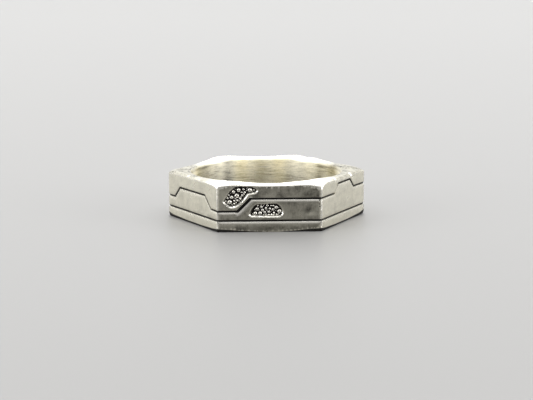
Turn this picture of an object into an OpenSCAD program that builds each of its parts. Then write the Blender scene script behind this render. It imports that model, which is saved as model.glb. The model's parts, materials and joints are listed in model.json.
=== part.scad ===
// Hexagon ring: a six-sided silver band with a round finger bore, panel lines engraved
// right round it, and two windows in the front side that show grains of silver.
// The ring lies on its side, so z = 0 is the surface that it rests on and the bore
// stands upright. The front side faces -Y.

/* [Band] */
// Diameter of the finger bore, which is what sets the ring size
bore_d = 18.95; // [18:0.05:21]
// Height of the band along the finger, at its corners
band_h = 6; // [5.9:0.05:6.4]
// Thickness of the wall at the middle of each side
side_wall = 1.35; // [1.2:0.05:2]
// How much of each upright corner is worn away
corner_wear = 0.11; // [0.05:0.01:0.2]
// Radius of the bore's rounded ends, for a comfortable fit
bore_round = 0.45; // [0.2:0.05:0.55]
// Bevel along the top edge of each side
top_bevel = 0.32; // [0.1:0.02:0.36]
// Bevel along the bottom edge of each side
bottom_bevel = 0.14; // [0.05:0.01:0.3]
// Drop of the top edge at the corners
top_corner_drop = 0.4; // [0.1:0.05:0.6]
// Rise of the bottom edge at the corners
bottom_corner_rise = 0.34; // [0.1:0.02:0.6]

/* [Panel lines] */
// Width of an engraved line
line_w = 0.18; // [0.1:0.01:0.3]
// Depth of an engraved line
line_depth = 0.35; // [0.1:0.05:0.5]
// How much higher the stepped line was cut by hand on each second side
line_wander = 0.03; // [0.02:0.01:0.05]
// Height of the straight line
base_line_z = 1.38; // [1.2:0.02:1.5]
// Lowest height of the stepped line
low_z = 2.5; // [2.4:0.02:2.6]
// Second height of the stepped line
mid_z = 2.75; // [2.65:0.02:3]
// Main height of the stepped line
high_z = 4.03; // [3.95:0.02:4.1]
// Highest height of the stepped line
peak_z = 5.1; // [4.9:0.02:5.2]

/* [Windows] */
// Depth of the two windows below the front side
window_depth = 0.55; // [0.45:0.05:0.65]
// Clearance between a window and the inlay in it
inlay_gap = 0.02; // [0.01:0.01:0.05]
// Thickness of the blackened bed that carries the grains
bed_t = 0.12; // [0.08:0.01:0.16]
// How far the top of the tallest grain stays below the front side
grain_below = 0.02; // [0:0.01:0.1]

/* [Hidden] */

sides = 6;
apothem = bore_d / 2 + side_wall;
side_w = apothem / cos(180 / sides);
corner_r = side_w - corner_wear;
past = 1;
front_side = 1;

// Radius at which the top and the bottom start to fall away to the corners
top_flat_r = corner_r - 0.85;
bottom_flat_r = apothem + 0.1;

// The stepped line on each side, from the left side round to the right.
// Each row is [distance from the middle of the side, height].
line_steps = [
    [[-4.37, mid_z], [-3.05, high_z], [3.29, high_z], [4.75, low_z]],
    [[-3.8, low_z], [-2.27, high_z]],
    [[-2.71, high_z], [-1.7, peak_z], [1.84, peak_z], [2.89, high_z]],
    [[-1, high_z], [0.5, low_z]],
    [[-2.8, low_z], [-1.3, high_z]],
    [[1.3, high_z], [2.6, mid_z]]
];

// How far the top edge dips at the middle of each side, and the half width of a dip
top_dips = [0.06, 0.15, 0.08, 0.12, 0.15, 0.12];
dip_half_w = 4.4;
dip_reach = 2.7;

// Outlines of the windows. Each row is [distance from the middle of the side, height,
// corner radius], and the rows go round clockwise.
upper_window = [
    [-5.5, 3.62, 0.1], [-4.9, 4.72, 0.5], [-4.14, 5.44, 0.4], [-1.62, 5.44, 0.34],
    [-1.44, 4.79, 0.18], [-2.5, 4.71, 0.14], [-3.86, 3.2, 0.45], [-4.62, 2.98, 0.3]
];
lower_window = [
    [-2.42, 1.9, 0.16], [-1.6, 3.42, 0.3], [1.52, 3.46, 0.9], [1.52, 1.9, 0.45]
];

// Grains of silver. Each row is [distance from the middle of the side, height, diameter].
upper_grain_rows = [
    [-4.75, 3.63, 0.6], [-4.5, 4.22, 0.44], [-3.89, 4.4, 0.62], [-4.29, 4.86, 0.46],
    [-3.65, 5.08, 0.5], [-2.34, 5.08, 0.56], [-4.86, 4.46, 0.22], [-4.96, 4.1, 0.26],
    [-5.2, 3.72, 0.22], [-3.07, 5.17, 0.28], [-3.3, 4.8, 0.25], [-2.93, 4.8, 0.28],
    [-3.25, 4.42, 0.28], [-3.47, 4.02, 0.28], [-3.83, 3.84, 0.26], [-4.19, 3.78, 0.27],
    [-4.2, 3.42, 0.24], [-1.85, 5.08, 0.22]
];
lower_grain_rows = [
    [-1.68, 2.26, 0.44], [-1.13, 2.26, 0.5], [-1.47, 2.78, 0.46], [-1.4, 3.17, 0.24],
    [-1, 3.04, 0.36], [-0.84, 2.64, 0.37], [-0.42, 2.85, 0.36], [-0.23, 3.18, 0.28],
    [-0.55, 2.36, 0.34], [-0.06, 2.42, 0.34], [0.06, 2.8, 0.3], [0.44, 2.71, 0.36],
    [0.81, 2.96, 0.42], [0.54, 2.3, 0.3], [1.17, 2.48, 0.5], [0.19, 3.16, 0.22],
    [0.47, 3.16, 0.26], [-0.46, 2.07, 0.18], [-0.12, 2.07, 0.22], [0.26, 2.07, 0.24],
    [0.86, 2.1, 0.24], [-1.95, 2.14, 0.16]
];
grain_sink = 0.18;
arc_steps = 6;
dip_steps = 3;
grain_fn = 32;
$fn = 128;

function unit(v) = v / norm(v);
function left_of(v) = [-v.y, v.x];

// Shifts point b of the corner a-b-c to the left by d, so that both edges shift by d
function shifted(a, b, c, d) =
    let (n = unit(left_of(unit(b - a)) + left_of(unit(c - b))))
    b + n * d / (n * left_of(unit(b - a)));

// An open line shifted to the left by d. Its first and last stretch are level.
function shifted_line(points, d) =
    let (last = len(points) - 1)
    [for (i = [0 : last])
        i == 0 || i == last ? points[i] + [0, d]
                            : shifted(points[i - 1], points[i], points[i + 1], d)];

function reversed(list) = [for (i = [len(list) - 1 : -1 : 0]) list[i]];
function flat(row) = [row.x, row.y];

// A closed clockwise outline made smaller by d, with its corner radii
function inset(rows, d) =
    let (n = len(rows))
    [for (i = [0 : n - 1])
        let (p = shifted(flat(rows[(i + n - 1) % n]), flat(rows[i]), flat(rows[(i + 1) % n]), -d))
        [p.x, p.y, rows[i][2]]];

// The points of the arc that rounds corner a-b-c to radius r
function corner_arc(a, b, c, r) =
    let (
        to_a = unit(a - b),
        to_c = unit(c - b),
        half = acos(to_a * to_c) / 2,
        middle = b + unit(to_a + to_c) * r / sin(half),
        start = b + to_a * r / tan(half) - middle,
        finish = b + to_c * r / tan(half) - middle,
        turn = 180 - 2 * half,
        way = start.x * finish.y - start.y * finish.x > 0 ? 1 : -1
    )
    [for (i = [0 : arc_steps])
        let (angle = way * turn * i / arc_steps)
        middle + [start.x * cos(angle) - start.y * sin(angle),
                  start.x * sin(angle) + start.y * cos(angle)]];

function rounded(rows) =
    let (n = len(rows))
    [for (i = [0 : n - 1])
        let (before = flat(rows[(i + n - 1) % n]), after = flat(rows[(i + 1) % n]), r = rows[i][2])
        each r > 0 ? corner_arc(before, flat(rows[i]), after, r) : [flat(rows[i])]];

// The stepped line of one side, cut a little past both corners
function side_line(steps) =
    let (end = side_w / 2 + line_depth)
    concat([[-end, steps[0].y]], steps, [[end, steps[len(steps) - 1].y]]);

// Puts its children on side k: x runs along the side, y up, and z out of the face
module on_side(k) {
    rotate([0, 0, 300 + 60 * k])
        translate([0, -apothem, 0])
            rotate([90, 0, 0])
                children();
}

// Half of the ring's section: the wall with its rounded bore ends and worn corners
module wall_section() {
    polygon(rounded([
        [bore_d / 2, 0, bore_round], [bore_d / 2, band_h, bore_round],
        [top_flat_r, band_h, 0], [corner_r, band_h - top_corner_drop, 0],
        [corner_r, bottom_corner_rise, 0], [bottom_flat_r, 0, 0]
    ]));
}

// The plain band: the turned wall cut to six sides
module band_blank() {
    intersection() {
        rotate_extrude() wall_section();
        translate([0, 0, -past])
            cylinder(r = side_w, h = band_h + 2 * past, $fn = sides);
    }
}

// A bevel cutter along an edge of a side, at height z
module edge_bevel(z, leg) {
    translate([0, z, 0])
        rotate([45, 0, 0])
            cube([side_w + past, leg * sqrt(2), leg * sqrt(2)], center = true);
}

// The shallow dip that polishing leaves in the top edge of a side
module top_dip(depth) {
    curve = [for (i = [-dip_steps : dip_steps])
        let (share = i / dip_steps)
        [share * dip_half_w, band_h - depth * (1 - share ^ 2)]];
    ends = [[dip_half_w, band_h + past], [-dip_half_w, band_h + past]];
    translate([0, 0, -dip_reach])
        linear_extrude(dip_reach + past)
            polygon(concat(curve, ends));
}

// The straight line, right round the band
module base_line() {
    translate([0, 0, base_line_z - line_w / 2])
        difference() {
            cylinder(r = side_w + past, h = line_w, $fn = sides);
            translate([0, 0, -past])
                cylinder(r = (apothem - line_depth) / cos(180 / sides), h = line_w + 2 * past,
                         $fn = sides);
        }
}

// The stepped line on one side
module stepped_line(steps) {
    line = side_line(steps);
    translate([0, 0, -line_depth])
        linear_extrude(line_depth + past)
            polygon(concat(shifted_line(line, line_w / 2),
                           reversed(shifted_line(line, -line_w / 2))));
}

module window(outline) {
    translate([0, 0, -window_depth])
        linear_extrude(window_depth + past)
            polygon(rounded(outline));
}

// A grain sunk into the bed. What would reach the underside of the bed is left off.
module grain(d) {
    middle = min(bed_t + d * (0.5 - grain_sink), window_depth - inlay_gap - grain_below - d / 2);
    difference() {
        translate([0, 0, middle])
            sphere(d = d, $fn = grain_fn);
        if (middle - d / 2 < bed_t / 4)
            translate([0, 0, bed_t / 4 - d])
                cylinder(r = d, h = d);
    }
}

// An inlay: grains of silver fused to a thin blackened bed that fits the window
module grain_inlay(outline, rows) {
    on_side(front_side)
        translate([0, 0, inlay_gap - window_depth]) {
            linear_extrude(bed_t)
                polygon(rounded(inset(outline, inlay_gap)));
            for (row = rows)
                translate([row[0], row[1], 0])
                    grain(row[2]);
        }
}

module band() {
    color("silver")
        difference() {
            band_blank();
            base_line();
            for (k = [0 : sides - 1])
                on_side(k) {
                    edge_bevel(band_h, top_bevel);
                    edge_bevel(0, bottom_bevel);
                    top_dip(top_dips[k]);
                    translate([0, (k % 2) * line_wander, 0])
                        stepped_line(line_steps[k]);
                }
            on_side(front_side) {
                window(upper_window);
                window(lower_window);
            }
        }
}

module upper_grains() {
    color("dimgray") grain_inlay(upper_window, upper_grain_rows);
}

module lower_grains() {
    color("dimgray") grain_inlay(lower_window, lower_grain_rows);
}

band();
upper_grains();
lower_grains();
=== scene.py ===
"""A six-sided silver ring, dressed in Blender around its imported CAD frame.

The band, the two windows of grains and the stage are each made by an operator, and the sizes
and colours that a user would change are properties. The tables below are in millimetres, and
a place on a side is (distance along the side from its middle, height).
"""

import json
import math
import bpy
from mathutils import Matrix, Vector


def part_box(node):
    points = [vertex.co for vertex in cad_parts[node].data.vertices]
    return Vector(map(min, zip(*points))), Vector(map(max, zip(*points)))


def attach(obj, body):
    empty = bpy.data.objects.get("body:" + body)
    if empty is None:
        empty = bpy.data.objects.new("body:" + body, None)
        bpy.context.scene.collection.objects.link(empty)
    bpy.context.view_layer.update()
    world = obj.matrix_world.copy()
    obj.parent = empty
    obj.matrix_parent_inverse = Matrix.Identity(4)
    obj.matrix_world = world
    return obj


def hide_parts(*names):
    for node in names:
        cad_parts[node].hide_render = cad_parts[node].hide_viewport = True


bl_info = {
    "name": "Hexagon Ring",
    "version": (1, 0, 0),
    "blender": (4, 5, 0),
    "location": "3D View > Sidebar > Ring",
    "description": "Makes a worn six-sided silver ring around its CAD frame",
    "category": "Object",
}

import bmesh
import bpy
import numpy as np
from bpy.props import FloatProperty, FloatVectorProperty, PointerProperty
from mathutils import Matrix, Vector, geometry, noise

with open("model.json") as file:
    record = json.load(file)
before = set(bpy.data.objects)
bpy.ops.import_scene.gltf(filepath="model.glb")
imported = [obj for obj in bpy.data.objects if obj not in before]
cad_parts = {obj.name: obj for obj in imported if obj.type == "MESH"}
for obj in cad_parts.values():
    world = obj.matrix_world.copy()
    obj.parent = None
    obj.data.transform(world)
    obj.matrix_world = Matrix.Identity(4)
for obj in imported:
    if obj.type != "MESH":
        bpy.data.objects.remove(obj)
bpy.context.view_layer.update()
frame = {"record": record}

MM = 0.001
MOUNTS = {mount["name"]: mount for mount in frame["record"]["mounts"]}
BORE_R = MOUNTS["finger_bore"]["dims"]["r_mm"]
BAND_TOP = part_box("band")[1]
APOTHEM = BAND_TOP[1] / MM
BAND_H = BAND_TOP[2] / MM
QUARTER = math.pi / 2

# The sides and their engraved lines

SIDES = 6
FRONT = 1
SIDE_W = APOTHEM / math.cos(math.pi / SIDES)

# Height of the plain line near the lower edge
BASE_Z = 1.38

# The stepped line on each side, from the left one round to the right: its height where the
# side starts, then its bends as (along, height, width of the stretch up to it against a plain
# line's). It ends where the next side's starts.
STEPPED_LINES = (
    (2.74, (-4.37, 2.74, 1), (-3.05, 4.03, 1.15), (3.29, 4.04, 1.05), (4.75, 2.58, 0.85)),
    (2.51, (-3.8, 2.51, 1), (-2.27, 4.04, 1.5)),
    (4.03, (-2.71, 4.03, 1), (-1.7, 5.1, 0.4), (1.84, 5.12, 1), (2.89, 4.07, 1.2)),
    (4.03, (-1, 4.03, 1), (0.5, 2.51, 1.1)),
    (2.51, (-2.8, 2.51, 1), (-1.3, 4.03, 1.2)),
    (4.03, (1.3, 4.03, 1), (2.6, 2.74, 0.9)),
)

# Depth across a line, from below it to above it. The metal above stays crisp and the metal
# below is worn to a soft lip, out to LIP_START.
LINE_CUT = ((-0.5, 0), (-0.35, 0.015), (-0.225, 0.045), (-0.155, 0.072), (-0.135, 0.08),
            (-0.115, 0.095), (-0.095, 0.3), (0.095, 0.3), (0.115, 0.05), (0.14, 0.014),
            (0.17, 0))
LIP_START = 0.105

# How much of a line's depth is missing at the corners
CORNER_LOSS = 0.6

# How far below a line's middle the blackening reaches on each side, how far above it on all
# of them, and how softly it ends
BLACK_REACH = (0.097, 0.128, 0.097, 0.112, 0.112, 0.112)
BLACK_ABOVE = 0.112
BLACK_FADE = 0.016

# How much of the lip each side keeps, and all of them at the corners
LIPS = (0.3, 1.2, 0.3, 0.6, 0.6, 0.6)
CORNER_LIP = 0.6

# The windows and their grains

UPPER_OUTLINE = (
    (-5.4, 3.69), (-5.1, 4.29), (-4.68, 4.89), (-4.14, 5.36), (-3.72, 5.47), (-3, 5.47),
    (-2.3, 5.45), (-1.84, 5.34), (-1.56, 5.1), (-1.65, 4.86), (-2.31, 4.73), (-2.6, 4.62),
    (-3.15, 3.96), (-3.69, 3.42), (-4.1, 3.19), (-4.58, 3.1), (-4.88, 3.25), (-5.16, 3.5),
)
LOWER_OUTLINE = (
    (-2.28, 2.08), (-2.09, 2.74), (-1.72, 3.19), (-1.36, 3.36), (-0.89, 3.31), (-0.3, 3.38),
    (0.3, 3.42), (0.9, 3.36), (1.31, 3.01), (1.5, 2.59), (1.42, 2.2), (1.19, 1.99),
    (0.06, 1.96), (-1.61, 2.01),
)

# Depth of a window's edge at a distance outside its outline. What is outside is a worn lip,
# whole below the window and thinned to LIP_ABOVE above it.
WINDOW_CUT = ((-0.06, 0.55), (-0.04, 0.36), (-0.02, 0.24), (0, 0.2), (0.09, 0.1),
              (0.15, 0.055), (0.28, 0))
LIP_ABOVE = 0.3

# Grains of silver: (along, height, diameter). The last and smallest fill in between.
UPPER_GRAINS = (
    (-4.75, 3.63, 0.6), (-4.5, 4.22, 0.44), (-3.89, 4.4, 0.62), (-4.29, 4.86, 0.46),
    (-3.65, 5.08, 0.5), (-2.34, 5.08, 0.56), (-4.86, 4.46, 0.22), (-4.96, 4.1, 0.26),
    (-5.2, 3.72, 0.22), (-3.07, 5.17, 0.28), (-3.3, 4.8, 0.25), (-2.93, 4.8, 0.28),
    (-3.25, 4.42, 0.28), (-3.47, 4.02, 0.28), (-3.83, 3.84, 0.26), (-4.19, 3.78, 0.27),
    (-4.2, 3.42, 0.24), (-1.85, 5.08, 0.22), (-3.04, 4.6, 0.2), (-3.4, 4.22, 0.2),
    (-3.66, 4.14, 0.18), (-4.02, 3.98, 0.18), (-3.6, 3.72, 0.16), (-3.97, 3.58, 0.17),
    (-2.72, 5, 0.16), (-4.05, 5.14, 0.15), (-4.62, 4.66, 0.14), (-2.05, 4.92, 0.14),
    (-2.66, 5.28, 0.15), (-4.42, 3.3, 0.16), (-5, 3.4, 0.14), (-4.15, 4.1, 0.15),
)
LOWER_GRAINS = (
    (-1.68, 2.26, 0.44), (-1.13, 2.26, 0.5), (-1.47, 2.78, 0.46), (-1.4, 3.17, 0.24),
    (-1, 3.04, 0.36), (-0.84, 2.64, 0.37), (-0.42, 2.85, 0.36), (-0.23, 3.18, 0.28),
    (-0.55, 2.36, 0.34), (-0.06, 2.42, 0.34), (0.06, 2.8, 0.3), (0.44, 2.71, 0.36),
    (0.81, 2.96, 0.42), (0.54, 2.3, 0.3), (1.17, 2.48, 0.5), (0.19, 3.16, 0.22),
    (0.47, 3.16, 0.26), (-0.46, 2.07, 0.18), (-0.12, 2.07, 0.22), (0.26, 2.07, 0.24),
    (0.86, 2.1, 0.24), (-1.95, 2.14, 0.16), (-0.72, 2.09, 0.16), (0.06, 2.1, 0.15),
    (0.52, 2.07, 0.17), (-1.7, 2.62, 0.16), (-0.68, 3.2, 0.15), (1.12, 2.86, 0.17),
    (0.24, 2.5, 0.15), (0.8, 2.52, 0.16), (-0.3, 2.6, 0.15), (-1.16, 2.62, 0.15),
    (1.12, 2.14, 0.15), (-1.4, 2.05, 0.14),
)

# The bed under the grains, in depths below the flat side, and its room inside the window
BED_UNDERSIDE = -0.53
BED_TOP = -0.41
BED_T = 0.12
BED_ROOM = 0.05

# How far a grain's middle stands above the bed against its size, how high it may reach above
# the underside, and the size from which it has a dimple
GRAIN_LIFT = 0.4
GRAIN_REACH = 0.51
DIMPLED = 0.3

# The hand-filed rim: a table for each side of (share along it, value), which ends at the
# value that the next side starts with

# Height at which a side starts to round over into the rim
SHOULDER = (
    ((0, 5.42), (0.03, 5.54), (0.1, 5.64), (0.5, 5.68), (0.87, 5.56), (0.96, 5.42)),
    ((0, 5.2), (0.03, 5.36), (0.09, 5.53), (0.16, 5.6), (0.32, 5.56), (0.44, 5.46),
     (0.57, 5.48), (0.7, 5.54), (0.87, 5.54), (0.93, 5.44), (0.97, 5.24)),
    ((0, 5.02), (0.04, 5.46), (0.12, 5.7), (0.25, 5.66), (0.34, 5.5), (0.4, 5.38), (0.62, 5.37),
     (0.69, 5.36), (0.73, 5.58), (0.85, 5.64), (0.96, 5.58)),
    ((0, 5.5), (0.05, 5.54), (0.25, 5.58), (0.5, 5.42), (0.75, 5.48), (0.94, 5.45)),
    ((0, 5.3), (0.06, 5.5), (0.14, 5.7), (0.35, 5.64), (0.5, 5.56), (0.75, 5.58), (0.93, 5.5)),
    ((0, 5.3), (0.06, 5.45), (0.25, 5.52), (0.5, 5.42), (0.75, 5.48), (0.94, 5.5)),
)

# Height of the rim's crest
CREST = (
    ((0, 5.78), (0.1, 5.86), (0.5, 5.84), (0.87, 5.84)),
    ((0, 5.86), (0.16, 5.88), (0.4, 5.76), (0.6, 5.75), (0.8, 5.84)),
    ((0, 5.88), (0.12, 5.94), (0.5, 5.82), (0.85, 5.84)),
    ((0, 5.72), (0.1, 5.8), (0.25, 5.84), (0.5, 5.69), (0.75, 5.74)),
    ((0, 5.8), (0.14, 5.99), (0.25, 5.96), (0.35, 5.9), (0.5, 5.83), (0.7, 5.87), (0.85, 5.96)),
    ((0, 5.98), (0.12, 5.92), (0.25, 5.8), (0.5, 5.68), (0.75, 5.73), (0.9, 5.78)),
)

# Height at which a side starts to round under
FOOT = (
    ((0, 0.7), (0.04, 0.56), (0.1, 0.4), (0.4, 0.28), (0.7, 0.27), (0.9, 0.35)),
    ((0, 0.46), (0.1, 0.37), (0.25, 0.19), (0.45, 0.05), (0.6, 0.05), (0.75, 0.2), (0.88, 0.4)),
    ((0, 0.48), (0.1, 0.36), (0.3, 0.27), (0.6, 0.27), (0.88, 0.42), (0.95, 0.58)),
    ((0, 0.74), (0.06, 0.5), (0.2, 0.25), (0.5, 0.12), (0.8, 0.2)),
    ((0, 0.37), (0.2, 0.2), (0.5, 0.1), (0.8, 0.2)),
    ((0, 0.37), (0.2, 0.2), (0.5, 0.12), (0.8, 0.25), (0.94, 0.5)),
)

# How far the rim falls away at the corner where each side starts, outside FALL_START, and how
# far that corner is worn back
CORNER_FALL = (0.16, 0.16, 0.26, 0.12, 0.3, 0.1)
FALL_START = 11.4
CORNER_WEAR = (0.1, 0, 0, 0.05, 0.05, 0.05)

# How rough the rim is left
RIM_ROUGH = (
    ((0, 1), (0.4, 0.9), (0.7, 0.6), (0.88, 0.2)),
    ((0, 0),),
    ((0, 0), (0.15, 0.3), (0.4, 0.75), (0.7, 0.9)),
    ((0, 1), (0.25, 0.9), (0.5, 0.65), (0.7, 0.25)),
    ((0, 0.05),),
    ((0, 0.05), (0.25, 0.1), (0.45, 0.4), (0.65, 0.85)),
)

# Bright chips on the rim's outer edge: (side, share along it, reach)
CHIPS = ((2, 0.672, 0.022), (2, 0.3, 0.015), (0, 0.42, 0.012))

# Marks of use and tarnish

# Dents: (side, along, height, radius, depth). A narrow one has points of its own in the mesh,
# and a deep one is black inside.
DENTS = (
    (1, 4.5, 2.45, 0.5, 0.05), (1, 5, 2.15, 0.4, 0.035), (1, 4.9, 2.75, 0.32, 0.03),
    (1, 6, 3.78, 0.17, 0.1), (1, 5.96, 3.34, 0.16, 0.09), (1, 6, 3.04, 0.17, 0.09),
    (2, 2.6, 5.3, 0.11, 0.06), (2, 2.95, 5.42, 0.1, 0.06), (0, -2.2, 3.3, 0.5, 0.015),
    (2, 1.2, 3, 0.7, 0.02), (0, 1.4, 2.2, 0.6, 0.015),
)
NARROW_DENT = 0.2
DEEP_DENT = 0.055

# Thin tarnish over each whole side. On the front it is mostly painted shade, which darkens
# the whole side.
SIDE_FILM_AND_SHADE = (0.0, 0.53, 0.0, 0.1, 0.16, 0.08)

# Stains and painted light: (side, along, height, reach along, reach up, strength). A positive
# strength darkens and a negative one lightens. On the front, the lightened spots just under the
# upper window's lower-left edge and under the plain line are painted highlights on their lips,
# and the band darkened along the foot is painted shade. These and the bore's bands fade out at
# STAIN_FADE times their reach.
STAINS_AND_PAINTED_LIGHT = (
    (1, -5.9, 4.6, 1, 1.6, -0.12), (1, -5, 2.9, 1.3, 0.6, 0.06),
    (1, 4.55, 2.62, 0.6, 0.4, 0.26), (1, 4.95, 2.12, 0.6, 0.2, -0.3),
    (1, -4, 3, 0.7, 0.3, -0.35), (1, -3.3, 3.55, 0.4, 0.4, -0.35),
    (1, -2.65, 4.3, 0.45, 0.3, -0.35), (1, 3, 2.8, 2.2, 0.7, 0.12),
    (1, -3.5, 1, 3, 0.3, -0.24), (1, 2.5, 1.05, 3.5, 0.25, -0.22),
    (1, 0, 0.4, 5.5, 0.3, 0.12), (0, -3.4, 3.2, 1.4, 0.8, 0.1),
    (2, -0.4, 2.4, 2, 0.7, 0.08), (0, 2.5, 4.8, 2, 0.5, 0.06),
)
STAIN_FADE = 1.5

# Yellow tarnish and dark bands inside the bore: (direction in degrees, reach, yellow, dark)
BORE_BANDS = (
    (178, 8, 1, 0.3), (158, 8, 0.6, 0.1), (150, 8, 0.4, 0.38), (141, 7, 0.2, 0.26),
    (132, 5, 0, 0.18), (121, 6, 0, 0.32), (108, 8, 0.6, 0.03), (93, 7, 0.6, 0.18),
    (78, 8, 0.6, 0), (69, 5, 0.1, 0.14), (60, 5, 0.1, 0.12), (51, 6, 0.3, 0.12),
    (40, 7, 0.6, 0.38), (24, 10, 1, 0.42), (215, 16, 0.4, 0.05), (262, 22, 0.5, 0.1),
    (318, 18, 0.6, 0.05),
)

# Unevenness left by hand work: rows of (depth, waves a millimetre, shift)
WANDER = ((0.014, 0.28, (0, 0, 0)), (0.006, 0.9, (7, 3, 1)))
RIM_BUMPS = ((1, 1.7, (0, 0, 0)), (0.5, 3.9, (0, 0, 0)))
RIM_BUMP_H = 0.006

# Distances between the mesh's points, and the room that loose ones leave along an edge and
# a window's rings under the shoulder
OUTLINE_STEP = 0.14
CORNER_STEP = 0.28
LINE_STEP = 0.26
SKIN_STEP = 0.24
BED_STEP = 0.09
EDGE_ROOM = 0.1
SHOULDER_ROOM = 0.03

# Columns of points along the flat of a side and round the bend at each end. Rows of them over
# the rim's outer rounding, the rim, the rounding into the bore, the bore, its lower rounding
# and the underside, and the turns of the last rounding.
FLAT_COLUMNS = 79
BEND_COLUMNS = 4
SECTION_ROWS = (8, 12, 9, 15, 7, 8)
TOE_TURNS = (0.4, 0.8, 1.15, 1.42, QUARTER)
TOE_W = 0.12

# Points nearer than WELD become one, and edges over SHARP degrees stay sharp
WELD = 0.002
SHARP = 40


def side_axes(side):
    """The directions along a side and out of it."""
    turn = math.radians(300 + 60 * side)
    along = np.array([math.cos(turn), math.sin(turn)])
    return along, np.array([along[1], -along[0]])


def smooth(value):
    """0 below 0, 1 above 1, and a soft ramp between."""
    value = np.clip(value, 0, 1)
    return value * value * (3 - 2 * value)


def towards(along, end, reach, width):
    """0 until a reach before an end of a side, and 1 from a width further on."""
    return smooth((np.abs(along) - end + reach) / width)


def at_corners(values, side, along):
    """The value of the corner at the nearer end of a side."""
    return np.where(along < 0, values[side], values[(side + 1) % SIDES])


def of_side(side, rows):
    """The rows of a table that are on a side, without its number."""
    return [row[1:] for row in rows if row[0] == side]


def table(rows, value):
    """The value read off a table of (place, value) rows."""
    places, values = zip(*rows)
    return np.interp(value, places, values)


def waves(points, rows):
    """Layered noise at points in space."""
    return np.array([sum(depth * noise.noise(Vector(point) * rate + Vector(shift))
                         for depth, rate, shift in rows) for point in points])


class Hexagon:
    """The rounded hexagon of the ring's outside, measured along its sides."""

    def __init__(self, corner_radius):
        self.corner = corner_radius
        self.straight = SIDE_W / 2 - corner_radius * math.tan(math.pi / SIDES)
        self.half = self.straight + corner_radius * math.pi / SIDES

    def at(self, side, along, out):
        """Points on a side, at distances along it and out of it."""
        axis, outward = side_axes(side)
        past = np.abs(along) - self.straight
        turn = np.clip(past, 0, None) / self.corner
        flat = np.clip(along, -self.straight, self.straight)
        radius = self.corner + out
        reach = np.sign(along) * radius * np.sin(turn) + flat
        height = APOTHEM - self.corner + radius * np.cos(turn)
        return reach[:, None] * axis + height[:, None] * outward

    def columns(self):
        """Distances along a side at which the rim and the bore have their columns."""
        middle = np.linspace(-self.straight, self.straight, FLAT_COLUMNS)
        bend = np.linspace(self.straight, self.half, BEND_COLUMNS + 1)[1:]
        return np.concatenate([-bend[::-1], middle, bend])


# Flat layouts of a side


def turned_left(step):
    """Unit vectors that point to the left of the given steps."""
    return np.stack([-step[:, 1], step[:, 0]], 1) / np.hypot(*step.T)[:, None]


def shifted(line, distance):
    """An open line moved to its left, by a distance for each stretch, with level ends."""
    normals = turned_left(np.diff(line, axis=0))
    moved = [line[0] + (0, distance[0])]
    for i in range(1, len(line) - 1):
        moved.append(line[i] + np.linalg.solve(normals[i - 1:i + 1], distance[i - 1:i + 1]))
    return np.array(moved + [line[-1] + (0, distance[-1])])


def shifted_loop(loop, distance):
    """A closed clockwise outline moved outwards."""
    before, after = loop - np.roll(loop, 1, 0), np.roll(loop, -1, 0) - loop
    inner = turned_left(before) + turned_left(after)
    return loop + inner / np.hypot(*inner.T)[:, None] * distance


def finer(line, step):
    """The same open line with more points on it, its corners kept."""
    points = [line[:1]]
    for start, end in zip(line[:-1], line[1:]):
        count = max(1, round(math.dist(start, end) / step))
        points.append(start + (end - start) * np.arange(1, count + 1)[:, None] / count)
    return np.concatenate(points)


def rounded_loop(corners, step):
    """A smooth closed outline through the corners, with points about a step apart."""
    corners = np.array(corners)
    points = []
    for i in range(len(corners)):
        a, b, c, d = (corners[(i + k) % len(corners)] for k in (-1, 0, 1, 2))
        count = max(2, round(math.dist(b, c) / step))
        for t in np.arange(count) / count:
            points.append(0.5 * (2 * b + (c - a) * t + (2 * a - 5 * b + 4 * c - d) * t ** 2
                                 + (3 * b - a - 3 * c + d) * t ** 3))
    return np.array(points)


def measured(points, line, widths):
    """How far each point is from a line, in widths of the nearest stretch and positive on the
    line's left, with that stretch and the way from it to the point."""
    start, step = line[:-1], np.diff(line, axis=0)
    offset = points[:, None] - start[None]
    share = np.clip((offset * step).sum(2) / (step ** 2).sum(1), 0, 1)
    away = offset - share[..., None] * step
    distance = np.hypot(away[..., 0], away[..., 1]) / widths
    nearest = distance.argmin(1)
    row = np.arange(len(points))
    step, offset = step[nearest], offset[row, nearest]
    left = step[:, 0] * offset[:, 1] - step[:, 1] * offset[:, 0]
    return np.where(left < 0, -1, 1) * distance[row, nearest], nearest, away[row, nearest]


class Window:
    """A sunken window in the front side, with its grains."""

    def __init__(self, outline, grains):
        self.loop = rounded_loop(outline, OUTLINE_STEP)
        self.line = np.concatenate([self.loop, self.loop[:1]])
        self.grains = grains

    def measured(self, points):
        """How far outside the outline each point is, and how far below it the way leads."""
        gap, _, away = measured(points, self.line, np.ones(len(self.loop)))
        return gap, -away[:, 1] / np.maximum(np.hypot(*away.T), 1e-6)


WINDOWS = {"upper_grains": Window(UPPER_OUTLINE, UPPER_GRAINS),
           "lower_grains": Window(LOWER_OUTLINE, LOWER_GRAINS)}


def windows(side):
    return WINDOWS.values() if side == FRONT else ()


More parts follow.
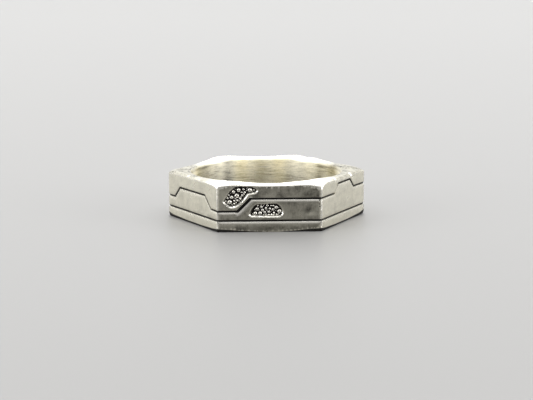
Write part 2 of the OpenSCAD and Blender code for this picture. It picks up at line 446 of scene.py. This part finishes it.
class Layout:
    """Points and fixed edges on one flat side, joined into triangles."""

    def __init__(self):
        self.points = []
        self.edges = []

    def add(self, line, loop=False):
        first = len(self.points)
        self.points.extend(map(tuple, line))
        last = len(self.points) - 1
        self.edges.extend((i, i + 1) for i in range(first, last))
        if loop:
            self.edges.append((last, first))

    def fill(self, inside, spacing, seed):
        """Adds loose points on a jittered grid, away from what is there already."""
        fixed = np.array(self.points)
        low, high = fixed.min(0), fixed.max(0)
        rng = np.random.default_rng(seed)
        pitch, jitter = spacing * 0.87, 0.12
        rows = np.arange(low[1] + spacing / 2, high[1], pitch)
        grid = [(x + spacing / 2 * (j % 2), z) for j, z in enumerate(rows)
                for x in np.arange(low[0] + spacing / 2, high[0], spacing)]
        grid = np.array(grid) + rng.uniform(-jitter, jitter, (len(grid), 2)) * spacing
        grid = grid[inside(grid)]
        near = np.array([np.hypot(*(fixed - point).T).min() for point in grid])
        self.points.extend(map(tuple, grid[near > spacing / 2]))

    def triangles(self):
        """Points and triangles within the outermost fixed edges."""
        found = geometry.delaunay_2d_cdt([Vector(point) for point in self.points],
                                         self.edges, [], 1, 1e-6)
        return np.array([tuple(point) for point in found[0]]), [tuple(f) for f in found[2]]


class Shell:
    """Points, faces and masks that are gathered part by part."""

    def __init__(self, mask_names):
        self.points, self.faces, self.count = [], [], 0
        self.masks = {name: [] for name in mask_names}

    def gather(self, points, faces, masks):
        self.points.append(points)
        self.faces.extend(tuple(i + self.count for i in face) for face in faces)
        self.count += len(points)
        for name, values in self.masks.items():
            values.append(np.broadcast_to(masks.get(name, 0.0), len(points)))

    def joined(self):
        masks = {name: np.concatenate(values) for name, values in self.masks.items()}
        return np.concatenate(self.points), self.faces, masks


# The band


class Band(Shell):
    """The band's mesh."""

    MASKS = ("cavity", "wear", "matte", "bore", "film", "warm")

    def __init__(self, settings):
        super().__init__(self.MASKS)
        self.hexagon = Hexagon(settings.corner_radius / MM)
        self.line_depth = settings.line_depth / MM / max(depth for _, depth in LINE_CUT)
        self.rim_round = settings.rim_round / MM
        self.bore_round = settings.bore_round / MM

    def share(self, along):
        return (along / self.hexagon.half + 1) / 2

    def read(self, tables, side, along):
        """What a side's own table gives at distances along it."""
        end = (1, tables[(side + 1) % SIDES][0][1])
        return table((*tables[side], end), self.share(along))

    def border(self, heights, side, along):
        """Points along a side, at the heights that its table gives."""
        return np.stack([along, self.read(heights, side, along)], 1)

    def lines(self, side):
        """The two engraved lines of a side, each with the widths of its stretches."""
        half = self.hexagon.half
        start, *bends = STEPPED_LINES[side]
        end = STEPPED_LINES[(side + 1) % SIDES][0]
        stepped = np.array([(-half, start, 1), *bends, (half, end, 1)])
        base = np.array([(-half, BASE_Z), (half, BASE_Z)])
        return (base, np.ones(1)), (stepped[:, :2], stepped[1:, 2])

    def relief(self, side, points):
        """Depth of everything cut into a side, with its cavity and wear masks."""
        along, height = points.T
        shallow = 1 - CORNER_LOSS * towards(along, self.hexagon.straight, 0.3, 0.4)
        end = towards(along, self.hexagon.half, 0.35, 0.25)
        kept = LIPS[side] + (CORNER_LIP - LIPS[side]) * end
        cuts = [np.zeros((3, len(points)))]
        for line, widths in self.lines(side):
            gap, nearest, _ = measured(points, line, widths)
            strength = np.minimum(widths[nearest], 1)
            lip = np.where(gap < -LIP_START, kept, 1)
            cut = table(LINE_CUT, gap) * self.line_depth * strength * shallow
            beyond = np.maximum(-gap - BLACK_REACH[side], gap - BLACK_ABOVE)
            cuts.append((cut * lip, (1 - smooth(beyond / BLACK_FADE)) * strength,
                         smooth((cut - 0.004) / 0.03) * (np.abs(gap) > LIP_START) * lip))
        for window in windows(side):
            gap, below = window.measured(points)
            lip = LIP_ABOVE + (1 - LIP_ABOVE) * smooth((below + 0.45) / 0.9)
            lip = np.where(gap > -0.01, lip, 1)
            cut = table(WINDOW_CUT, gap)
            cuts.append((cut * lip, smooth((cut - 0.22) / 0.25),
                         (1 - smooth((gap - 0.12) / 0.1)) * (gap > -0.03) * lip))
        depth, cavity, wear = np.max(cuts, 0)
        for x, z, radius, deep in of_side(side, DENTS):
            gap = np.hypot(along - x, height - z) / radius
            depth += deep * (1 - smooth(gap))
            cavity = np.maximum(cavity, (deep > DEEP_DENT) * (1 - smooth(gap * 1.5 - 0.6)))
        return depth, cavity, wear

    def film(self, side, points):
        """Thickness of the tarnish and painted shade on a side, lessened where highlights are
        painted.
        """
        along, height = points.T
        film = np.full(len(points), SIDE_FILM_AND_SHADE[side])
        for x, z, reach, rise, strength in of_side(side, STAINS_AND_PAINTED_LIGHT):
            gap = np.hypot((along - x) / reach, (height - z) / rise)
            film += strength * (1 - smooth(gap / STAIN_FADE))
        return film * (1 - towards(along, self.hexagon.straight, 0.25, 0.25))

    def end(self, side, along):
        """Points up a side's end between its foot and shoulder, shared with the next side."""
        level = at_corners([line[0] for line in STEPPED_LINES], side, along)
        fixed = [float(self.read(heights, side, along)) for heights in (FOOT, SHOULDER)]
        fixed += [z + gap for z in (BASE_Z, level) for gap, _ in LINE_CUT]
        return finer(np.array([(along, z) for z in sorted(fixed)]), CORNER_STEP)[1:-1]

    def side_skin(self, side):
        """One side's outer face, between its foot and its shoulder."""
        half, columns = self.hexagon.half, self.hexagon.columns()
        layout = Layout()
        layout.add([*self.border(FOOT, side, columns), *self.end(side, half),
                    *self.border(SHOULDER, side, columns)[::-1],
                    *self.end(side, -half)[::-1]], loop=True)
        for line, widths in self.lines(side):
            for gap, _ in LINE_CUT:
                layout.add(finer(shifted(line, gap * widths), LINE_STEP))
        for window in windows(side):
            for gap, _ in WINDOW_CUT:
                ring = shifted_loop(window.loop, gap)
                ceiling = self.read(SHOULDER, side, ring[:, 0]) - SHOULDER_ROOM
                ring[:, 1] = np.minimum(ring[:, 1], ceiling)
                layout.add(ring, loop=True)
        turn = np.arange(8) * math.pi / 4
        spot = np.column_stack([np.cos(turn), np.sin(turn)])
        for along, height, radius, _ in of_side(side, DENTS):
            if radius < NARROW_DENT:
                for reach in (radius, radius / 2):
                    layout.add(spot * reach + (along, height), loop=True)

        def inside(grid):
            along, height = grid.T
            return ((np.abs(along) < half - EDGE_ROOM)
                    & (height > self.read(FOOT, side, along) + EDGE_ROOM)
                    & (height < self.read(SHOULDER, side, along) - EDGE_ROOM))

        layout.fill(inside, SKIN_STEP, side)
        flat, faces = layout.triangles()
        points, masks = self.on_side(side, flat)
        self.gather(points, faces, masks)

    def on_side(self, side, flat):
        """Places flat points on a side, cut and worn."""
        along, height = flat.T
        depth, cavity, wear = self.relief(side, flat)
        worn = at_corners(CORNER_WEAR, side, along)
        depth += towards(along, self.hexagon.half, 0.5, 0.5) * worn
        true = self.hexagon.at(side, along, np.zeros(len(flat)))
        out = waves(np.column_stack([true, height]), WANDER) - depth
        edge = towards(along, self.hexagon.straight, 0.08, 0.1)
        points = np.column_stack([self.hexagon.at(side, along, out), height])
        return points, {"cavity": cavity, "wear": np.maximum(wear, edge),
                        "film": self.film(side, flat)}

    def edge(self, heights, side, along):
        """A side's upper or lower edge, where the inner surfaces start or end."""
        return self.on_side(side, self.border(heights, side, along))[0]

    def chips(self, side, along):
        """Where the rim's outer edge is chipped bright."""
        chip = np.zeros(len(along))
        for share, reach in of_side(side, CHIPS):
            chip = np.maximum(chip, 1 - smooth(np.abs(self.share(along) - share) / reach - 0.3))
        return chip

    def inner_surfaces(self):
        """The rest of the band in one closed grid round the ring: from the shoulder over the
        rim, down the bore and back out to the foot."""
        columns = self.hexagon.columns()[:-1]

        def ring(value, *given):
            """A value at every column of every side."""
            return np.concatenate([value(*given, side, columns) for side in range(SIDES)])

        shoulder, foot, crest, rough = (
            ring(self.read, tables) for tables in (SHOULDER, FOOT, CREST, RIM_ROUGH))
        top, low = ring(self.edge, SHOULDER), ring(self.edge, FOOT)
        fall, chip = ring(at_corners, CORNER_FALL), ring(self.chips)
        radius, low_radius = np.hypot(*top.T[:2]), np.hypot(*low.T[:2])
        outward = top[:, :2] / radius[:, None]
        around = len(radius)
        rows, masks = [], {name: [] for name in self.MASKS}

        def row(reach, height, **marks):
            reach, height = (np.broadcast_to(value, around) for value in (reach, height))
            rows.append(np.column_stack([outward * reach[:, None], height]))
            for name, values in masks.items():
                values.append(np.broadcast_to(marks.get(name, 0.0), around))

        def rim_height(radius):
            """Height of the rim's top, which falls away towards the corners."""
            return crest - fall * smooth(radius - FALL_START)

        outer_rows, rim_rows, mouth_rows, bore_rows, heel_rows, under_rows = SECTION_ROWS
        rim_round, bore_round = self.rim_round, self.bore_round
        outer, inner = radius - rim_round, BORE_R + bore_round
        crest_out, crest_in = rim_height(outer), rim_height(inner)
        polished = 1 - smooth(rough * 3)
        for turn in np.linspace(0, QUARTER, outer_rows):
            spread = rough * smooth(turn / 0.6) * (1 - chip)
            row(outer + rim_round * math.cos(turn),
                shoulder + (crest_out - shoulder) * math.sin(turn),
                matte=spread, wear=1 - smooth(spread * 3), film=0.52 * spread)
        for share in np.linspace(0, 1, rim_rows)[1:]:
            reach = outer + (inner - outer) * share
            row(reach, rim_height(reach), matte=rough, wear=polished, film=0.57 * rough)
        for turn in np.linspace(0, QUARTER, mouth_rows)[1:]:
            row(inner - bore_round * math.sin(turn), crest_in - bore_round * (1 - math.cos(turn)),
                bore=smooth(turn / 1.2 - 0.3), matte=rough * (1 - smooth(turn - 0.4)),
                wear=polished * (1 - smooth(turn / 0.9 - 0.5)),
                film=rough * (0.62 - 0.3 * smooth(turn / 1.4)))
        mouth = crest_in - bore_round
        for share in np.linspace(0, 1, bore_rows)[1:]:
            row(BORE_R, mouth + (bore_round - mouth) * share, bore=1.0)
        for turn in np.linspace(0, QUARTER, heel_rows)[1:]:
            row(inner - bore_round * math.cos(turn), bore_round * (1 - math.sin(turn)),
                bore=1 - smooth(turn))
        # The underside and the toe's rounding are blackened as a painted contact shadow.
        toe, under = low_radius - TOE_W, foot * 0.04
        for share in np.linspace(0, 1, under_rows)[1:]:
            row(inner + (toe - inner) * share, under * smooth(share * 2),
                matte=smooth(share * 2), cavity=smooth(share * 3 - 1.4))
        for turn in TOE_TURNS:
            row(toe + (low_radius - toe) * math.sin(turn),
                under + (foot - under) * (1 - math.cos(turn)), cavity=float(turn < QUARTER))
        rows[-1] = low

        points = np.concatenate(rows)
        masks = {name: np.concatenate(values) for name, values in masks.items()}
        upper = points[:, 2] > BAND_H / 2
        points[:, 2] += RIM_BUMP_H * waves(points, RIM_BUMPS) * masks["matte"] * upper
        masks["warm"], dark = self.bore_bands(points, masks["bore"])
        # Painted shade: the bore grows darker from 5.4 mm above the floor down to 3.2 mm, and stays
        # so below.
        deep = 0.12 * np.clip(5.4 - points[:, 2], 0, 2.2) * masks["bore"]
        masks["film"] = masks["film"] + dark + deep
        ahead = [*range(1, around), 0]
        faces = [(start + i, start + ahead[i], start + around + ahead[i], start + around + i)
                 for start in range(0, len(points) - around, around) for i in range(around)]
        self.gather(points, faces, masks)

    def bore_bands(self, points, bore):
        """Yellow tarnish and dark bands at points in the bore, the bands fainter towards its
        bottom.
        """
        direction = np.degrees(np.arctan2(points[:, 1], points[:, 0]))
        warm, dark = np.zeros((2, len(points)))
        for middle, reach, yellow, black in BORE_BANDS:
            turn = np.abs((direction - middle + 180) % 360 - 180)
            spot = 1 - smooth(turn / reach / STAIN_FADE)
            warm, dark = warm + yellow * spot, dark + black * spot
        dark = dark * (0.3 + 0.7 * smooth((points[:, 2] - 1.4) / 1.6))
        return np.minimum(warm, 1) * bore, np.minimum(dark, 1) * bore

    def build(self):
        for side in range(SIDES):
            self.side_skin(side)
        self.inner_surfaces()
        return self.joined()


def new_object(name, data):
    piece = bpy.data.objects.new(name, data)
    bpy.context.scene.collection.objects.link(piece)
    return piece


def new_piece(node, material, shell):
    """A mesh object that stands for a CAD node."""
    name = "silver_" + node
    points, faces, masks = shell
    mesh = bpy.data.meshes.new(name)
    mesh.from_pydata(points * MM, [], faces)
    for mask, values in masks.items():
        attribute = mesh.attributes.new(mask, "FLOAT", "POINT")
        attribute.data.foreach_set("value", np.asarray(values, dtype=np.float32))
    shape = bmesh.new()
    shape.from_mesh(mesh)
    bmesh.ops.remove_doubles(shape, verts=shape.verts, dist=WELD * MM)
    bmesh.ops.dissolve_degenerate(shape, edges=shape.edges, dist=1e-7)
    bmesh.ops.recalc_face_normals(shape, faces=shape.faces)
    shape.to_mesh(mesh)
    shape.free()
    mesh.polygons.foreach_set("use_smooth", [True] * len(mesh.polygons))
    mesh.set_sharp_from_angle(angle=math.radians(SHARP))
    mesh.materials.append(material)
    piece = new_object(name, mesh)
    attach(piece, "root")
    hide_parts(node)


# The grains


def ball(detail):
    """Corners and faces of a round ball of radius 1."""
    shape = bmesh.new()
    bmesh.ops.create_icosphere(shape, subdivisions=detail, radius=1)
    points = np.array([tuple(v.co) for v in shape.verts])
    faces = [tuple(v.index for v in face.verts) for face in shape.faces]
    shape.free()
    return points, faces


def bed(window, seed):
    """The blackened bed of a window: a rough top, a wall and a flat underside."""
    loop = shifted_loop(window.loop, -BED_ROOM)
    layout = Layout()
    layout.add(loop, loop=True)
    layout.fill(lambda grid: window.measured(grid)[0] < -0.08, BED_STEP, seed)
    flat, faces = layout.triangles()
    bumps = np.array([noise.noise(Vector((x, z, seed)) * 3.1) for x, z in flat])
    top = np.column_stack([flat, BED_TOP + 0.02 * bumps])
    count = len(loop)
    under = np.column_stack([loop, np.full(count, BED_UNDERSIDE)])
    first = len(top)
    wall = [(i, (i + 1) % count, first + (i + 1) % count, first + i) for i in range(count)]
    return np.concatenate([top, under]), faces + wall + [tuple(range(first, first + count))]


def grain(corners, along, height, size, seed, rng):
    """The corners of one grain, a little out of round, with its polish mask. A large grain
    has the dimple that the setting tool leaves in it."""
    radius = size / 2
    middle = BED_UNDERSIDE + min(BED_T + size * GRAIN_LIFT, GRAIN_REACH - radius)
    shape = corners * rng.uniform(0.95, 1.04, 3)
    shape = shape * (1 + 0.05 * waves(corners, [(1, 1.6, (along, height, seed))])[:, None])
    polish = smooth((corners[:, 2] - 0.2) / 0.4)
    if size > DIMPLED:
        dimple = 1 - smooth((np.hypot(corners[:, 0], corners[:, 1]) - 0.2) / 0.35)
        dimple *= corners[:, 2] > 0
        shape[:, 2] -= 0.2 * dimple
        polish = polish * (1 - 0.7 * dimple)
    part = shape * radius + np.array([along, height, middle])
    part[:, 2] = np.maximum(part[:, 2], BED_UNDERSIDE + 0.03)
    return part, polish


def inlay(window, settings, seed):
    """A window's grains on their bed, as points, faces and masks."""
    shell = Shell(["polish"])
    shell.gather(*bed(window, seed), {})
    rng = np.random.default_rng(seed)
    coarse, fine = ball(3), ball(4)
    for along, height, size in window.grains:
        corners, faces = fine if size > DIMPLED else coarse
        points, polish = grain(corners, along, height, size * settings.grain_scale, seed, rng)
        shell.gather(points, faces, {"polish": polish})
    flat, faces, masks = shell.joined()
    axis, outward = side_axes(FRONT)
    place = flat[:, :1] * axis + (APOTHEM + flat[:, 2:]) * outward
    return np.column_stack([place, flat[:, 1]]), faces, masks


# Shaders

# Marks of hand work: (name, waves a millimetre along each axis, detail, roughness)
HAND_MARKS = (
    ("Sanding", (7, 7, 0.9), 4, 0.6), ("Streaks", (0.45, 0.45, 4), 4, 0.65),
    ("Blotches", (0.6, 0.6, 0.75), 5, 0.6), ("Pits", (5.5, 5.5, 5.5), 3, 0.75),
    ("Filing", (3.6, 1, 3.6), 3, 0.75),
)

# How marks darken the film where they lie, as (slope, start) over their noise
RIM_GRIT = (-1.5, 0.8)
BORE_SCORES = (-2.1, 0.92)
PIT_SPECKS = (-0.6, 0.31)

# What each mask adds to the roughness
MASK_ROUGHNESS = (("matte", 0.28), ("bore", 0.4), ("wear", -0.08), ("cavity", 0.4))


class Wiring:
    """The nodes of a material or a node group, with short ways to add and join them."""

    def __init__(self, tree):
        self.nodes, self.links = tree.nodes, tree.links

    def join(self, value, socket):
        """Links a value that is a socket, and sets any other."""
        if isinstance(value, bpy.types.NodeSocket):
            self.links.new(value, socket)
        elif socket.type == "RGBA":
            socket.default_value = (*value, 1)
        else:
            socket.default_value = value

    def fill(self, node, **values):
        """Gives a node's inputs their values. An underscore stands for a space."""
        for name, value in values.items():
            self.join(value, node.inputs[name.replace("_", " ")])
        return node

    def add(self, kind, group=None, **values):
        node = self.nodes.new("ShaderNode" + kind)
        if group:
            node.node_tree = group
        return self.fill(node, **values)

    def mask(self, name):
        """A mask that the mesh carries."""
        node = self.nodes.new("ShaderNodeAttribute")
        node.attribute_name = name
        return node.outputs["Fac"]

    def calc(self, operation, *values):
        """The output of a Math node on numbers or sockets."""
        node = self.nodes.new("ShaderNodeMath")
        node.operation = operation
        for value, socket in zip(values, node.inputs):
            self.join(value, socket)
        return node.outputs[0]

    def line(self, value, slope, start):
        """The value times a slope, added to a start."""
        return self.calc("MULTIPLY_ADD", value, slope, start)

    def ramp(self, value, slope, start):
        """The same, but never below 0."""
        return self.calc("MAXIMUM", self.line(value, slope, start), 0.0)

    def times(self, first, second):
        return self.calc("MULTIPLY", first, second)

    def mix(self, factor, first, second):
        """The colour at a factor from the first to the second."""
        node = self.nodes.new("ShaderNodeMix")
        node.data_type = "RGBA"
        self.join(factor, node.inputs["Factor"])
        self.join(first, node.inputs[6])
        self.join(second, node.inputs[7])
        return node.outputs[2]


def new_group(name, inputs, outputs):
    """An empty node group with sockets of (name, kind), and maybe a default."""
    group = bpy.data.node_groups.new(name, "ShaderNodeTree")
    for way, sockets in (("INPUT", inputs), ("OUTPUT", outputs)):
        for label, kind, *default in sockets:
            socket = group.interface.new_socket(name=label, in_out=way,
                                                socket_type="NodeSocket" + kind)
            if default:
                socket.default_value = default[0]
    tree = Wiring(group)
    given = tree.nodes.new("NodeGroupInput").outputs
    return group, tree, given, tree.nodes.new("NodeGroupOutput").inputs


def hand_finish_group():
    """Fine sanding marks, streaks, blotches, pits and filing left by hand work."""
    group, tree, given, result = new_group(
        "hand_finish", [("Place", "Vector")], [(name, "Float") for name, *_ in HAND_MARKS])
    for name, stretch, detail, roughness in HAND_MARKS:
        place = tree.add("Mapping", Vector=given["Place"], Scale=stretch)
        marks = tree.add("TexNoise", Vector=place.outputs["Vector"], Scale=1 / MM,
                         Detail=detail, Roughness=roughness)
        tree.join(marks.outputs["Fac"], result[name])
    return group


def tarnish_group():
    """Blackening that fills hollows, lies in a thin layer and is rubbed off where worn. Its hollow
    and layer inputs also carry painted shade, painted highlights and a painted contact shadow.
    """
    group, tree, given, result = new_group(
        "tarnish",
        [("Hollow", "Float"), ("Film", "Float"), ("Wear", "Float"), ("Blotches", "Float", 0.5),
         ("Bright", "Color", (1, 1, 1, 1)), ("Black", "Color", (0, 0, 0, 1))],
        [("Color", "Color")])
    hollow, film, wear, blotches, bright, black = given[:6]
    patches = tree.ramp(blotches, 0.9, -0.4)
    mottled = tree.line(blotches, 0.9, 0.55)
    patches = tree.line(film, mottled, patches)
    film = tree.times(patches, tree.calc("SUBTRACT", 1.0, wear))
    mask = tree.calc("MAXIMUM", hollow, film)
    tree.join(tree.mix(mask, bright, black), result["Color"])
    return group


def shared(name):
    """A node group that the silver materials share, built when first needed."""
    makers = {"hand_finish": hand_finish_group, "tarnish": tarnish_group}
    return bpy.data.node_groups.get(name) or makers[name]()


def new_material(name):
    material = bpy.data.materials.new(name)
    material.use_nodes = True
    return material, Wiring(material.node_tree), material.node_tree.nodes["Principled BSDF"]


def hand_marks(tree):
    """The outputs of the hand finish, placed by the object's own measure."""
    place = tree.add("TexCoord").outputs["Object"]
    return tree.add("Group", shared("hand_finish"), Place=place).outputs


def finish_silver(tree, shader, colour, hollow, gloss, roughness, height, strength):
    """Joins up a silver shader, metal but for its black hollows, with its marks as bumps."""
    bump = tree.add("Bump", Strength=strength, Distance=0.02 * MM, Height=height)
    tree.fill(shader, Base_Color=colour, Metallic=tree.line(hollow, -0.8, 1.0),
              Specular_IOR_Level=gloss, Roughness=roughness, Normal=bump.outputs["Normal"])


def silver_material(finish):
    """Old silver: satin sides, a matte scratched rim, a warm streaky bore, black lines. Its masks
    also carry painted shade, painted highlights and a painted contact shadow.
    """
    material, tree, shader = new_material("worn_silver")
    sanding, streaks, blotches, pits, filing = hand_marks(tree)[:5]
    masks = {name: tree.mask(name) for name in Band.MASKS}
    cavity, wear, matte, bore, film, warm = masks.values()

    base = tree.mix(bore, finish.silver, finish.bore)
    yellow = tree.times(warm, tree.line(streaks, 2.4, -0.4))
    base = tree.mix(yellow, base, finish.bore_stain)
    bright = tree.mix(wear, base, finish.worn_edge)

    grit = tree.times(tree.ramp(filing, *RIM_GRIT), matte)
    scores = tree.times(tree.ramp(streaks, *BORE_SCORES), bore)
    for dark in (grit, tree.ramp(pits, *PIT_SPECKS), scores):
        film = tree.calc("ADD", film, dark)
    brushed = tree.line(blotches, 0.75, tree.times(sanding, 0.25))
    drawn = tree.calc("SUBTRACT", streaks, brushed)
    tarnish = tree.add("Group", shared("tarnish"), Hollow=cavity, Film=film, Wear=wear,
                       Blotches=tree.line(drawn, bore, brushed), Bright=bright,
                       Black=finish.black)

    roughness = tree.line(blotches, 0.16, 0.22)
    for name, amount in MASK_ROUGHNESS:
        roughness = tree.line(masks[name], amount, roughness)
    height = tree.times(sanding, tree.calc("SUBTRACT", 1.0, bore))
    height = tree.line(tree.times(streaks, bore), 1.4, height)
    height = tree.line(tree.times(filing, matte), 6.0, height)
    height = tree.line(blotches, 3.0, height)
    finish_silver(tree, shader, tarnish.outputs["Color"], cavity, 0.15, roughness, height, 0.5)
    return material


def grain_material(finish):
    """Silver grains polished on top and black at their feet, on a black bed."""
    material, tree, shader = new_material("grain_silver")
    marks = hand_marks(tree)
    polish = tree.mask("polish")
    hollow = tree.calc("SUBTRACT", 1.0, polish)
    tarnish = tree.add("Group", shared("tarnish"), Hollow=hollow, Wear=polish,
                       Blotches=marks["Blotches"], Bright=finish.grain, Black=finish.black)
    finish_silver(tree, shader, tarnish.outputs["Color"], hollow, 0.05,
                  tree.line(hollow, 0.5, 0.18), marks["Pits"], 0.3)
    return material


# Settings


def colour(name, description, default):
    return FloatVectorProperty(name=name, description=description, default=default,
                               min=0, max=1, subtype="COLOR")


def length(name, description, default, high, low=0.1):
    """A length property, from values in millimetres."""
    return FloatProperty(name=name, description=description, default=default * MM,
                         min=low * MM, max=high * MM, unit="LENGTH")


def factor(name, description, default, low, high):
    return FloatProperty(name=name, description=description, default=default,
                         min=low, max=high, subtype="FACTOR")


def angle(name, description, default, low, high):
    """An angle property, its default in degrees and its range in radians."""
    return FloatProperty(name=name, description=description, default=math.radians(default),
                         min=low, max=high, subtype="ANGLE")


class RingBandSettings(bpy.types.PropertyGroup):
    """Sizes of the band that the CAD model leaves to the finish."""

    corner_radius: length("Corner Radius", "Rounding of the six upright corners", 0.16, 0.6)
    rim_round: length("Rim Rounding", "Width of the rounding on the rim's outer edge", 0.34, 0.5)
    bore_round: length("Bore Rounding", "Rounding of the bore's two ends", 0.42, 0.5)
    line_depth: length("Line Depth", "Depth of the engraved lines", 0.3, 0.35)


class RingGrainSettings(bpy.types.PropertyGroup):
    """The grains of silver in the windows."""

    grain_scale: factor("Grain Size", "Size of the grains against the CAD model's", 1.0, 0.8, 1.0)


class RingFinishSettings(bpy.types.PropertyGroup):
    """Colours of the metal."""

    silver: colour("Silver", "Colour of the satin sides", (0.77, 0.74, 0.62))
    bore: colour("Bore", "Colour of the silver inside the bore", (0.93, 0.89, 0.75))
    bore_stain: colour("Bore Stain", "Yellow tarnish inside the bore", (0.88, 0.78, 0.46))
    worn_edge: colour("Worn Edges", "Colour of rubbed edges", (0.84, 0.82, 0.75))
    grain: colour("Grains", "Colour of the polished grains", (0.66, 0.64, 0.59))
    black: colour("Blackening", "Colour of the blackened hollows", (0.012, 0.011, 0.01))


class RingStageSettings(bpy.types.PropertyGroup):
    """Floor, lights and camera."""

    floor: colour("Floor", "Colour of the floor", (0.22, 0.218, 0.214))
    light: factor("Light", "Brightness of all the lights", 1.0, 0.1, 4.0)
    surround: factor("Surround", "Brightness of the dim room round the stage", 0.06, 0.0, 1.0)
    camera_distance: length("Camera Distance", "From the middle of the ring's base",
                            163.5, 1000, 100)
    camera_elevation: angle("Camera Elevation", "Height of the camera above the floor, as an angle",
                            11.34, 0, 1.5)
    camera_azimuth: angle("Camera Azimuth", "How far the camera stands round to the left",
                          1.885, -3.2, 3.2)
    camera_pitch: angle("Camera Pitch", "How far the camera looks down", 10.704, 0, 1.5)
    camera_roll: angle("Camera Roll", "Turn of the camera about its line of sight", -0.2, -1, 1)
    focal_length: FloatProperty(
        name="Focal Length", description="Focal length in millimetres on a 36 mm sensor",
        default=86.48, min=20, max=200)


# Stage

# Softboxes: (name, direction and elevation in degrees, distance in metres, width, height,
# brightness). The direction is measured round from the ring's right.
SOFTBOXES = (
    ("back_softbox", 90, 20, 1.3, 2.2, 0.9, 2.2),
    ("left_softbox", 158, 16, 1.1, 1.1, 0.62, 2.4),
    ("right_softbox", 22, 16, 1.1, 1.1, 0.62, 2.1),
    ("left_strip", 205, 14, 1.1, 0.6, 0.55, 8),
    ("right_strip", -25, 14, 1.1, 0.6, 0.55, 8.5),
    ("front_softbox", 270, 34, 1, 1.2, 1, 0.5),
    ("top_softbox", 90, 84, 0.9, 2, 2, 2.5),
)
FLOOR_REACH = 12
SURROUND_COLOUR = (1, 0.98, 0.96)


def make_floor(stage):
    corners = [(x * FLOOR_REACH, y * FLOOR_REACH, 0)
               for x, y in ((-1, -1), (1, -1), (1, 1), (-1, 1))]
    mesh = bpy.data.meshes.new("floor")
    mesh.from_pydata(corners, [], [(0, 1, 2, 3)])
    material, tree, shader = new_material("pale_floor")
    tree.fill(shader, Base_Color=stage.floor, Roughness=0.5, Specular_IOR_Level=0.2)
    mesh.materials.append(material)
    floor = new_object("floor", mesh)


def make_lights(stage):
    for name, direction, elevation, distance, width, height, brightness in SOFTBOXES:
        turn, rise = math.radians(direction), math.radians(elevation)
        light = bpy.data.lights.new(name, "AREA")
        light.shape = "RECTANGLE"
        light.size, light.size_y = width, height
        light.energy = brightness * stage.light * math.pi * width * height
        lamp = new_object(name, light)
        lamp.location = distance * Vector((math.cos(turn) * math.cos(rise),
                                           math.sin(turn) * math.cos(rise), math.sin(rise)))
        lamp.rotation_euler = (-lamp.location).to_track_quat("-Z", "Y").to_euler()
        lamp.visible_camera = False
    world = bpy.data.worlds.new("dim_room")
    world.use_nodes = True
    tree = world.node_tree
    Wiring(tree).fill(tree.nodes["Background"], Color=SURROUND_COLOUR, Strength=stage.surround)
    bpy.context.scene.world = world


def make_camera(stage):
    rise = stage.camera_elevation
    place = Vector((0, -math.cos(rise), math.sin(rise))) * stage.camera_distance
    turn = Matrix.Rotation(-stage.camera_azimuth, 4, "Z")
    tilt = Matrix.Rotation(QUARTER - stage.camera_pitch, 4, "X")
    roll = Matrix.Rotation(stage.camera_roll, 4, "Z")
    data = bpy.data.cameras.new("camera")
    data.lens, data.sensor_width, data.sensor_fit = stage.focal_length, 36, "HORIZONTAL"
    data.clip_start, data.clip_end = 0.005, 20
    camera = new_object("camera", data)
    camera.matrix_world = turn @ Matrix.Translation(place) @ tilt @ roll
    bpy.context.scene.camera = camera


# Operators and panel


class RING_OT_stage(bpy.types.Operator):
    """Make the pale floor, the softboxes and the camera"""

    bl_idname = "ring.stage"
    bl_label = "Make Stage"

    def execute(self, context):
        stage = context.scene.ring_stage
        make_floor(stage)
        make_lights(stage)
        make_camera(stage)
        context.scene.view_settings.view_transform = "Standard"
        return {"FINISHED"}


class RING_OT_band(bpy.types.Operator):
    """Make the band with its engraved lines, windows and hand-filed rim"""

    bl_idname = "ring.band"
    bl_label = "Make Band"

    def execute(self, context):
        shell = Band(context.scene.ring_band).build()
        new_piece("band", silver_material(context.scene.ring_finish), shell)
        return {"FINISHED"}


class RING_OT_grains(bpy.types.Operator):
    """Make the grains of both windows, each on its blackened bed"""

    bl_idname = "ring.grains"
    bl_label = "Make Grains"

    def execute(self, context):
        settings = context.scene.ring_grains
        material = grain_material(context.scene.ring_finish)
        for seed, (node, window) in enumerate(WINDOWS.items(), 3):
            new_piece(node, material, inlay(window, settings, seed))
        return {"FINISHED"}


class RING_PT_panel(bpy.types.Panel):
    """Lists the ring's pieces and their settings"""

    bl_idname = "RING_PT_panel"
    bl_label = "Hexagon Ring"
    bl_space_type = "VIEW_3D"
    bl_region_type = "UI"
    bl_category = "Ring"

    def draw(self, context):
        for label in ("Stage", "Band", "Grains", "Finish"):
            settings = getattr(context.scene, "ring_" + label.lower())
            box = self.layout.box()
            box.label(text=label)
            for name in settings.__annotations__:
                box.prop(settings, name)
            if label != "Finish":
                box.operator("ring." + label.lower())


SETTINGS = {
    "ring_band": RingBandSettings, "ring_grains": RingGrainSettings,
    "ring_finish": RingFinishSettings, "ring_stage": RingStageSettings,
}
CLASSES = (*SETTINGS.values(), RING_OT_stage, RING_OT_band, RING_OT_grains, RING_PT_panel)


def register():
    for cls in CLASSES:
        bpy.utils.register_class(cls)
    for name, cls in SETTINGS.items():
        setattr(bpy.types.Scene, name, PointerProperty(type=cls))


def unregister():
    for name in SETTINGS:
        delattr(bpy.types.Scene, name)
    for cls in reversed(CLASSES):
        bpy.utils.unregister_class(cls)


def main():
    register()
    bpy.ops.ring.stage()
    bpy.ops.ring.band()
    bpy.ops.ring.grains()


if __name__ == "__main__":
    main()
